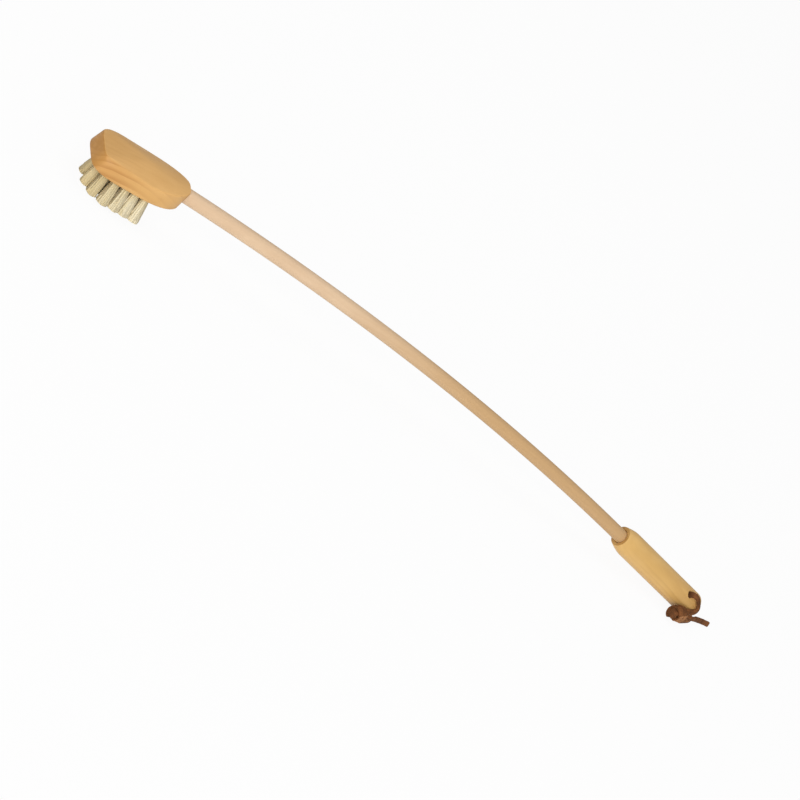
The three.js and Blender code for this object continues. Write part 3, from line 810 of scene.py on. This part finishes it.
def rod_stations():
    end = ROD_LENGTH + ROD_SOCKET
    stations = []
    for turn in np.linspace(0, math.pi / 2, ROUND_STEPS):
        along, down = ROD_ROUND * (1 - math.cos(turn)), ROD_ROUND * (1 - math.sin(turn))
        stations.append((ROD_START + along, ROD_RADIUS - down))
    for s in np.linspace(ROD_START + ROD_ROUND, end - ROD_ROUND, ROD_RINGS)[1:]:
        stations.append((s, ROD_RADIUS))
    return [*stations, (end, ROD_RADIUS - ROD_ROUND)]


def rod_rings():
    turn = np.linspace(0, 2 * math.pi, ROD_SIDES, endpoint=False)
    rings, straight = [], []
    for s, radius in rod_stations():
        x, z, fall = rod_axis(s)
        across, up = radius * np.cos(turn), radius * np.sin(turn)
        rings.append(np.stack([x + up * math.sin(fall), across, z + up * math.cos(fall)], axis=1))
        straight.append(np.stack([s + 0 * turn, across, up], axis=1))
    return np.array(rings), np.array(straight)


rings, straight = rod_rings()
rod_points, rod_faces = skin(rings)
rod = new_piece("rod_dowel", to_scene(rod_points), rod_faces)
hubs = [straight[0].mean(axis=0), straight[-1].mean(axis=0)]
store(rod, "grain", np.concatenate([straight.reshape(-1, 3), hubs]))
uncut = np.zeros(len(rod_points))
store_cut(rod, uncut, uncut)
print("rod faces:", len(rod_faces))

# %% [markdown]
# ## Grip
# The grip was turned on a lathe: a bored mouth round the rod, a swelling shoulder, a plain cylinder
# and a rounded tail. The Screw modifier turns a profile too, but rings keep it in the same frame as
# the rest. The slanted hole for the thong is cut with a drill that flares at both ends, like a hole
# that has been sanded and worn by its lace.

# %% Grip profile
GRIP_RADIUS, GRIP_MOUTH, GRIP_LENGTH = 11.9, 9.5, 120
GRIP_SHOULDER, MOUTH_ROUND, TAIL_ROUND = 15, 0.8, 5
GRIP_BORE, BORE_CHAMFER, BORE_SPARE, BORE_HUB = 6.3, 0.5, 0.3, 0.4
MOUTH_STEPS, SHOULDER_STEPS, BODY_STEPS, TAIL_STEPS = 7, 15, 30, 13
TAIL_RINGS = (5.2, 3.4, 1.6)


def grip_profile():
    depth, tail = ROD_SOCKET + BORE_SPARE, GRIP_LENGTH - TAIL_ROUND
    profile = [(depth, BORE_HUB), (depth, GRIP_BORE), (BORE_CHAMFER, GRIP_BORE)]
    profile.append((0, GRIP_BORE + BORE_CHAMFER))
    for turn in np.linspace(0, math.pi / 2, MOUTH_STEPS):
        along, down = MOUTH_ROUND * (1 - math.cos(turn)), MOUTH_ROUND * (1 - math.sin(turn))
        profile.append((along, GRIP_MOUTH - down))
    for share in np.linspace(0, 1, SHOULDER_STEPS)[1:]:
        swelling = (GRIP_RADIUS - GRIP_MOUTH) * math.sin(math.pi / 2 * share)
        profile.append((MOUTH_ROUND + (GRIP_SHOULDER - MOUTH_ROUND) * share, GRIP_MOUTH + swelling))
    for along in np.linspace(GRIP_SHOULDER, tail, BODY_STEPS)[1:-1]:
        profile.append((along, GRIP_RADIUS))
    for turn in np.linspace(0, math.pi / 2, TAIL_STEPS):
        down = TAIL_ROUND * (1 - math.cos(turn))
        profile.append((tail + TAIL_ROUND * math.sin(turn), GRIP_RADIUS - down))
    return profile + [(GRIP_LENGTH, radius) for radius in TAIL_RINGS]


grip_shape = grip_profile()
print("grip profile points:", len(grip_shape))

# %% Turn the grip
GRIP_SIDES = 112
GRIP_X, GRIP_Z, GRIP_FALL = rod_axis(ROD_LENGTH)
GRIP_START = np.array([GRIP_X, 0, GRIP_Z])
GRIP_TURN = about_y(GRIP_FALL)


def lathe(profile, sides):
    turn = np.linspace(0, 2 * math.pi, sides, endpoint=False)
    return np.array([
        np.stack([along + 0 * turn, radius * np.cos(turn), radius * np.sin(turn)], axis=1)
        for along, radius in profile
    ])


def grip_to_scene(points):
    return to_scene(np.asarray(points) @ GRIP_TURN.T + GRIP_START)


def scene_to_grip(points):
    return (to_brush(points) - GRIP_START) @ GRIP_TURN


grip_points, grip_faces = skin(lathe(grip_shape, GRIP_SIDES))
grip = new_piece("grip_wood", grip_to_scene(grip_points), grip_faces)
print("grip skin faces:", len(grip_faces))

# %% Drill the thong's hole
THONG_HOLE_RADIUS, THONG_HOLE_FROM_TAIL = 2.95, 21
FLARE_RADIUS, FLARE_DEPTH, FLARE_PAST = THONG_HOLE_RADIUS + 1.54, 1.1, 1.4
THONG_DRILL_SIDES = 40
GRIP_END_CUT = (0.5, 0.9)


def thong_drill():
    far, narrow = GRIP_RADIUS + FLARE_PAST, GRIP_RADIUS - FLARE_DEPTH
    profile = [(-far, FLARE_RADIUS), (-narrow, THONG_HOLE_RADIUS)]
    profile += [(narrow, THONG_HOLE_RADIUS), (far, FLARE_RADIUS)]
    points, faces = skin(lathe(profile, THONG_DRILL_SIDES))
    line = np.array([0, math.cos(HOLE_TILT), math.sin(HOLE_TILT)])
    side = np.array([1.0, 0, 0])
    middle = np.array([GRIP_LENGTH - THONG_HOLE_FROM_TAIL, 0, 0])
    return middle + np.array(points) @ np.array([line, side, np.cross(line, side)]), faces


drill_points, drill_faces = thong_drill()
take_away(grip, grip_to_scene(drill_points), drill_faces)
store(grip, "grain", scene_to_grip(mesh_points(grip)))
grip_heading = TIP_TURN @ GRIP_TURN[:, 0]
end_cut = smooth_step(*GRIP_END_CUT, np.abs(mesh_normals(grip) @ grip_heading))
store_cut(grip, end_cut, 0 * end_cut)
print("grip faces:", len(grip.data.polygons))

# %% [markdown]
# ## Wood
# Block, rod and grip are a fine, even hardwood under a clear finish, in three tones. Solid wood is
# the same all through, so the pattern is worked out in space and not on the surface: growth rings
# are the distance from the tree's middle, wandered by slow noise, fibres are noise drawn out along
# x, and flecks are short dark dashes. The block's layers lie aslant: they hardly show on its back
# and come out as lines on its walls, most of all round the near corner of the free end. Where fibres
# are cut across they drink more oil, so the stored cut darkens the end grain. Painted shade darkens
# the block towards its free end, off its back, the rod towards the grip and the grip towards its
# tail.

# %% Wood finish
WANDER_STRETCH, CLOUD_STRETCH = (0.014, 0.05, 0.05), (0.03, 0.09, 0.09)
FIBRE_STRETCH, FLECK_STRETCH = (0.05, 2.2, 2.2), (0.32, 2.9, 2.9)
ACROSS_GRAIN = (0.0, 1.0, 1.0)
RING_WANDER, RING_DRIFT = 7.0, 0.02
BACK_HUSH, PAINTED_SHADE_SHARE, FLECK_SHARE = 0.85, 0.85, 0.28


def wood_finish(name, tones, painted_shade_span, heart, spacing, ring_share, ring_reach, gloss):
    material, shader, wire = new_finish(name)
    pale, deep, late_wood, end_tone, painted_shade_tone = (colour(*tone) for tone in tones)
    grain = wire.stored("grain", "Vector")
    end, back, _ = wire.stored("cut", "Vector").split()
    x, _, _ = grain.split()
    off_back = 1 - back * BACK_HUSH
    wander = grain.vector("MULTIPLY", WANDER_STRETCH).noise(scale=1.0)
    flat = grain.vector("SUBTRACT", heart).vector("MULTIPLY", ACROSS_GRAIN)
    away = flat.vector("LENGTH", (0.0, 0.0, 0.0), "Value")
    saw = wire.maths("FRACT", (away + wander * RING_WANDER + x * RING_DRIFT) / spacing)
    late = saw.between(0.3, 0.9) * (1 - saw.between(0.9, 1.0))
    rings = late * (x.between(*ring_reach) * 0.8 + 0.2) * off_back
    fibre = grain.vector("MULTIPLY", FIBRE_STRETCH).noise(scale=1.0, detail=4, roughness=0.62)
    fleck = grain.vector("MULTIPLY", FLECK_STRETCH).noise(scale=1.0).between(0.68, 0.8)
    cloud = grain.vector("MULTIPLY", CLOUD_STRETCH).noise(scale=1.0).between(0.3, 0.7)
    body = (cloud * 0.6 + fibre * 0.4).paint(pale, deep)
    # Painted shade: darker towards one end of each piece, and on the block only off its back.
    body = (x.between(*painted_shade_span) * off_back * PAINTED_SHADE_SHARE).paint(body, painted_shade_tone)
    body = (rings * ring_share).paint(body, late_wood)
    body = (fleck * FLECK_SHARE).paint(body, late_wood)
    body = (end * (0.45 + 0.5 * cloud)).paint(body, end_tone)
    height = fibre * 0.5 - fleck * 0.6 - rings * 0.2
    plug_in(shader, {
        "Base Color": body,
        "Roughness": gloss + 0.16 * fibre + 0.08 * fleck,
        "Normal": height.bump(strength=0.15, distance=0.0004),
        "Specular IOR Level": 0.32,
        "Coat Weight": 0.05,
        "Coat Roughness": 0.3,
    })
    return material


print("wood finish ready")

# %% Three tones of wood
# Each list has a pale and a deep tone, late wood, end grain, and a painted shade tone for one end.
block_wood = wood_finish(
    "block_finish",
    tones=[(226, 178, 112), (215, 166, 99), (180, 124, 64), (184, 130, 58), (205, 152, 86)],
    painted_shade_span=(-38.0, -72.0), heart=(0, 18, 22), spacing=4.0,
    ring_share=0.6, ring_reach=(-25.0, -62.0), gloss=0.45,
)
rod_wood = wood_finish(
    "rod_finish",
    tones=[(228, 198, 164), (219, 187, 152), (190, 150, 104), (192, 152, 106), (200, 160, 108)],
    painted_shade_span=(110.0, 360.0), heart=(0, 30, 22), spacing=3.4,
    ring_share=0.2, ring_reach=(0.0, 500.0), gloss=0.46,
)
grip_wood = wood_finish(
    "grip_finish",
    tones=[(228, 186, 117), (216, 172, 102), (180, 132, 70), (172, 126, 64), (217, 172, 103)],
    painted_shade_span=(60.0, 120.0), heart=(0, 24, -40), spacing=3.6,
    ring_share=0.22, ring_reach=(0.0, 100.0), gloss=0.38,
)
for piece, node, slot, finish in (
    (head, "head_block", "head_wood", block_wood),
    (rod, "rod", "rod_wood", rod_wood),
    (grip, "grip", "grip_wood", grip_wood),
):
    piece.data.materials.clear()
    piece.data.materials.append(finish)
    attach(piece, "root")
    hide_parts(node)
print("wood on", [p.name for p in (head, rod, grip)])

# %% [markdown]
# ## Bristles
# Twenty-five tufts of pale bristle stand in the holes and splay towards their flat-trimmed tips. The
# first tufts at the free end reach a little further out. Towards the rod the tips are trimmed
# shorter and spread wider. The hair is painted darker towards the free end and near its roots,
# which is painted shade. Hair particles don't export as a clean mesh, and thousands of hand-made
# tubes are slow, so Geometry Nodes grow them: every tuft is a point, every hair is a short curve
# placed on a disc about its point, and each hair is bent from its root to its own tip before it
# gets its thickness.

# %% Bristle sizes
HAIRS_PER_TUFT = 380
ROOT_PLAY = 0.1
HAIR_INPUTS = {
    "Hairs per tuft": ("NodeSocketInt", HAIRS_PER_TUFT),
    "Tuft radius": ("NodeSocketFloat", TUFT_DIAMETER / 2 - ROOT_PLAY),
    "Hair thickness": ("NodeSocketFloat", 0.36),
    "Hair length": ("NodeSocketFloat", 20.5),
    "Root depth": ("NodeSocketFloat", 2.0),
    "Tuft spread": ("NodeSocketFloat", 1.9),
    "Side reach": ("NodeSocketFloat", 4.6),
    "End lean": ("NodeSocketFloat", 0.04),
    "End reach": ("NodeSocketFloat", 0.9),
    "Trim": ("NodeSocketFloat", 1.2),
    "Widening": ("NodeSocketFloat", 0.3),
    "Seed": ("NodeSocketInt", 7),
    "Material": ("NodeSocketMaterial", None),
}
print("bristle inputs:", list(HAIR_INPUTS))

# %% Root and tip of each hair
ROW_START = CURVE_MIDDLE - CURVE_REACH
TO_ROD, FIRST_TUFTS = (-66.0, -40.0), (-66.0, -57.0)
GOLDEN_ANGLE = math.pi * (3 - math.sqrt(5))
TURN_STRAY, TIP_STRAY, BOW_STRAY = 0.8, 0.4, 0.5
LEAST_SHORT, MOST_SHORT = 0.34, 0.74
FLOAT_MIN, FLOAT_MAX, FLOAT_OUT = 2, 3, 1  # a Random Value node's sockets for floats


def keep(geometry, name, kind, value):
    settings = {"data_type": kind, "domain": "POINT"}
    sockets = {"Geometry": geometry, "Name": name, "Value": value}
    return geometry.add("GeometryNodeStoreNamedAttribute", settings, sockets)


def plan_hairs(copies, given):
    """Keeps on each hair's point where its root and its tip are, how it bows and its shade."""

    def pick(low, high, salt):
        sockets = {FLOAT_MIN: low, FLOAT_MAX: high, "Seed": given["Seed"] + float(salt)}
        return copies.add("FunctionNodeRandomValue", {"data_type": "FLOAT"}, sockets, FLOAT_OUT)

    number = copies.output("Duplicate Index")
    away = given["Tuft radius"] * ((number + 0.5) / given["Hairs per tuft"]) ** 0.5
    angle = number * GOLDEN_ANGLE + pick(0.0, TURN_STRAY, 1)
    dx, dy = away * angle.maths("COSINE", angle), away * angle.maths("SINE", angle)
    x, y, z = copies.add("GeometryNodeInputPosition").split()
    to_rod = x.between(*TO_ROD)
    lean = given["End lean"] * (x - ROW_START)
    lean = lean - given["End reach"] * (1 - x.between(*FIRST_TUFTS))
    wide = given["Tuft spread"] * dx * (1 + given["Widening"] * to_rod)
    outward = y.maths("SIGN", y) * (y.maths("ABSOLUTE", y) / SIDE_ROW) ** 0.5
    tip_x = x + lean + wide + pick(-TIP_STRAY, TIP_STRAY, 2)
    tip_y = y + given["Side reach"] * outward + given["Tuft spread"] * dy
    tip_y = tip_y + pick(-TIP_STRAY, TIP_STRAY, 3)
    tip_z = z - given["Hair length"] + to_rod * given["Trim"] + pick(LEAST_SHORT, MOST_SHORT, 4)
    root = (x + dx).join(y + dy, z + given["Root depth"])
    bow = pick(-BOW_STRAY, BOW_STRAY, 5).join(pick(-BOW_STRAY, BOW_STRAY, 6), 0.0)
    hairs = keep(copies, "root", "FLOAT_VECTOR", root)
    hairs = keep(hairs, "tip", "FLOAT_VECTOR", tip_x.join(tip_y, tip_z))
    hairs = keep(hairs, "bow", "FLOAT_VECTOR", bow)
    hairs = keep(hairs, "hair_shade", "FLOAT", pick(0.0, 1.0, 7))
    return keep(hairs, "hair_row", "FLOAT", to_rod)


print("hairs spread round a tuft by", round(math.degrees(GOLDEN_ANGLE), 1), "degrees each")

# %% From points to tubes
HAIR_POINTS, HAIR_SIDES = 4, 3
ROOT_RADIUS, TIP_GAIN = 0.4, 0.25


def bend_hairs(stems):
    def kept(name):
        settings = {"data_type": "FLOAT_VECTOR"}
        return stems.add("GeometryNodeInputNamedAttribute", settings, {"Name": name})

    share = stems.add("GeometryNodeSplineParameter")
    root = kept("root")
    reach = kept("tip").vector("SUBTRACT", root)
    line = root.vector("ADD", reach.scaled(share))
    place = line.vector("ADD", kept("bow").scaled(share * (1 - share) * 4))
    sockets = {"Geometry": stems, "Position": place}
    bent = stems.add("GeometryNodeSetPosition", None, sockets)
    return keep(bent, "hair_along", "FLOAT", share), share


def thicken(stems, share, thickness):
    radius = thickness * (ROOT_RADIUS + TIP_GAIN * share)
    sockets = {"Curve": stems, "Radius": radius}
    stems = stems.add("GeometryNodeSetCurveRadius", None, sockets)
    sockets = {"Resolution": HAIR_SIDES, "Radius": 1.0}
    ring = stems.add("GeometryNodeCurvePrimitiveCircle", {"mode": "RADIUS"}, sockets)
    sockets = {"Curve": stems, "Profile Curve": ring, "Fill Caps": True}
    return stems.add("GeometryNodeCurveToMesh", None, sockets)


def bristle_tree():
    tree = bpy.data.node_groups.new("bristle_tree", "GeometryNodeTree")
    tree.interface.new_socket("Tufts", in_out="INPUT", socket_type="NodeSocketGeometry")
    for name, (kind, _) in HAIR_INPUTS.items():
        tree.interface.new_socket(name, in_out="INPUT", socket_type=kind)
    tree.interface.new_socket("Bristles", in_out="OUTPUT", socket_type="NodeSocketGeometry")
    start = tree.nodes.new("NodeGroupInput")
    wire = Wire(tree)
    given = {socket.name: Wire(tree, socket) for socket in start.outputs if socket.name}
    points = wire.add("GeometryNodeMeshToPoints", None, {"Mesh": given["Tufts"]})
    sockets = {"Geometry": points, "Amount": given["Hairs per tuft"]}
    copies = wire.add("GeometryNodeDuplicateElements", {"domain": "POINT"}, sockets)
    hairs = plan_hairs(copies, given)
    stem = wire.add("GeometryNodeCurvePrimitiveLine")
    stem = wire.add("GeometryNodeResampleCurve", None, {"Curve": stem, "Count": HAIR_POINTS})
    stems = wire.add("GeometryNodeInstanceOnPoints", None, {"Points": hairs, "Instance": stem})
    stems = wire.add("GeometryNodeRealizeInstances", None, {"Geometry": stems})
    tubes = thicken(*bend_hairs(stems), given["Hair thickness"])
    tubes = wire.add("GeometryNodeRealizeInstances", None, {"Geometry": tubes})
    sockets = {"Geometry": tubes, "Material": given["Material"]}
    tubes = wire.add("GeometryNodeSetMaterial", None, sockets)
    tree.links.new(tubes.socket, tree.nodes.new("NodeGroupOutput").inputs[0])
    return tree


bristle_growth = bristle_tree()
print("bristle tree nodes:", len(bristle_growth.nodes))

# %% Bristle finish
HAIR_DULL, HAIR_PALE = colour(226, 211, 172), colour(240, 227, 194)
STREAK_TONE, PAINTED_ROOT_SHADE = colour(206, 188, 138), colour(214, 194, 138)
PAINTED_FREE_END_SHADE = colour(196, 172, 112)
STREAK_STRETCH = (1.0, 1.0, 0.15)


def bristle_finish():
    material, shader, wire = new_finish("bristle_finish")
    along, shade = wire.stored("hair_along"), wire.stored("hair_shade")
    row = wire.stored("hair_row")
    streak = wire.place().vector("MULTIPLY", STREAK_STRETCH).noise(scale=900, detail=3)
    body = shade.paint(HAIR_DULL, HAIR_PALE)
    body = (streak.between(0.5, 0.8) * 0.25).paint(body, STREAK_TONE)
    # Painted shade: the hair is darker and more olive towards its roots, under the block.
    body = ((1 - along.between(0.05, 0.55)) * 0.5).paint(body, PAINTED_ROOT_SHADE)
    # Painted shade: the hair is darker towards the free end of the row.
    body = ((1 - row) * 0.5).paint(body, PAINTED_FREE_END_SHADE)
    plug_in(shader, {
        "Base Color": body,
        "Roughness": 0.5 + 0.25 * shade,
        "Normal": streak.bump(strength=0.3, distance=0.0002),
        "Specular IOR Level": 0.3,
    })
    return material


bristle_hair = bristle_finish()
print("bristle finish nodes:", len(bristle_hair.node_tree.nodes))

# %% Grow the bristles


def grow(name, places, tree, values):
    """Runs a tree on points, and gives back its result as a plain mesh in the scene's frame."""
    piece = new_piece(name, [(x, y, BLOCK_BOTTOM) for x, y in places], [])
    growth = piece.modifiers.new("growth", "NODES")
    growth.node_group = tree
    for item in tree.interface.items_tree:
        if item.in_out == "INPUT" and item.name in values:
            growth[item.identifier] = values[item.name]
    mesh = settle(piece, growth)
    moved = to_scene(mesh_points(piece))
    mesh.vertices.foreach_set("co", moved.astype(np.float32).ravel())
    mesh.polygons.foreach_set("use_smooth", [True] * len(mesh.polygons))
    mesh.update()
    return piece


hair_values = {name: value for name, (_, value) in HAIR_INPUTS.items()}
hair_values["Material"] = bristle_hair
bristles = grow("bristle_tufts", tufts, bristle_growth, hair_values)
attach(bristles, "root")
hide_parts("bristle_field")
print("hairs:", len(tufts) * HAIRS_PER_TUFT, "faces:", len(bristles.data.polygons))

# %% [markdown]
# ## Staples
# A flat wire staple holds each folded tuft at the bottom of its hole. It could be modelled again
# with rounder bends, but it is hidden and its solid is right as it is. So the solids stay and only
# get a finish: drawn steel with fine lengthwise scratches.

# %% Staple wire
STEEL_DARK, STEEL_BRIGHT = colour(150, 146, 138), colour(206, 202, 192)
SCRATCH_STRETCH = (1.0, 0.06, 1.0)


def wire_finish():
    material, shader, wire = new_finish("wire_finish")
    scratch = wire.place().vector("MULTIPLY", SCRATCH_STRETCH).noise(scale=9000, detail=3)
    plug_in(shader, {
        "Base Color": scratch.paint(STEEL_DARK, STEEL_BRIGHT),
        "Metallic": 1.0,
        "Roughness": 0.25 + 0.3 * scratch,
        "Normal": scratch.bump(strength=0.2, distance=0.0001),
    })
    return material


staple_wire = wire_finish()
staples = [node for name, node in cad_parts.items() if name.startswith("staple_")]
for staple in staples:
    staple.data.materials.clear()
    staple.data.materials.append(staple_wire)
print("staples:", len(staples))

# %% [markdown]
# ## Floor and light
# The brush is shown on a plain white ground. A white world alone would give no shadow, so the floor
# is a big pale sheet: seen by the camera it is mostly its own white, with enough of a matt surface
# left in it to take the brush's soft shadow. The key lamp is wide and stands far off on the near
# side, towards the free end, and a lamp above and the white surroundings fill the shadows.

# %% Floor
FLOOR_HALF = 6.0
FLOOR_WHITE = 0.93
FLOOR_PALE, FLOOR_BRIGHT = colour(248, 248, 247), colour(252, 252, 252)


def floor_finish():
    material, shader, wire = new_finish("floor_white")
    path = wire.add("ShaderNodeLightPath")
    seen = path.output("Is Camera Ray") + path.output("Is Glossy Ray")
    seen = seen + path.output("Is Transmission Ray")
    plug_in(shader, {
        "Base Color": wire.place().noise(scale=30).paint(FLOOR_PALE, FLOOR_BRIGHT),
        "Roughness": 0.9,
        "Specular IOR Level": 0.0,
    })
    glow = wire.add("ShaderNodeEmission", None, {"Color": (1, 1, 1, 1), "Strength": 1.0})
    surface = Wire(wire.tree, shader.outputs[0])
    mixed = wire.add("ShaderNodeMixShader", None, {0: seen * FLOOR_WHITE, 1: surface, 2: glow})
    plug_in(material.node_tree.nodes["Material Output"], {"Surface": mixed})
    return material


floor_corners = [
    (x * FLOOR_HALF, y * FLOOR_HALF, 0) for x, y in ((-1, -1), (1, -1), (1, 1), (-1, 1))
]
floor = new_piece("floor", floor_corners, [(0, 1, 2, 3)])
floor.data.materials.append(floor_finish())
print("floor is", 2 * FLOOR_HALF, "m wide")

# %% Light
LAMP_TARGET = (0, 0, 0.03)
SKY_STRENGTH = 0.42


def lamp(name, place, size, power):
    data = bpy.data.lights.new(name, "AREA")
    data.shape = "DISK"
    data.size = size
    data.energy = power
    light = bpy.data.objects.new(name, data)
    scene.collection.objects.link(light)
    light.location = place
    aim = Vector(LAMP_TARGET) - Vector(place)
    light.rotation_euler = aim.to_track_quat("-Z", "Y").to_euler()


lamp("key_lamp", place=(-1.8, -3.0, 1.4), size=3.2, power=92)
lamp("top_lamp", place=(0.1, 0.3, 2.6), size=2.2, power=13)
world = bpy.data.worlds.new("studio")
world.use_nodes = True
scene.world = world
sky = world.node_tree.nodes["Background"]
plug_in(sky, {"Color": (1, 1, 1, 1), "Strength": SKY_STRENGTH})
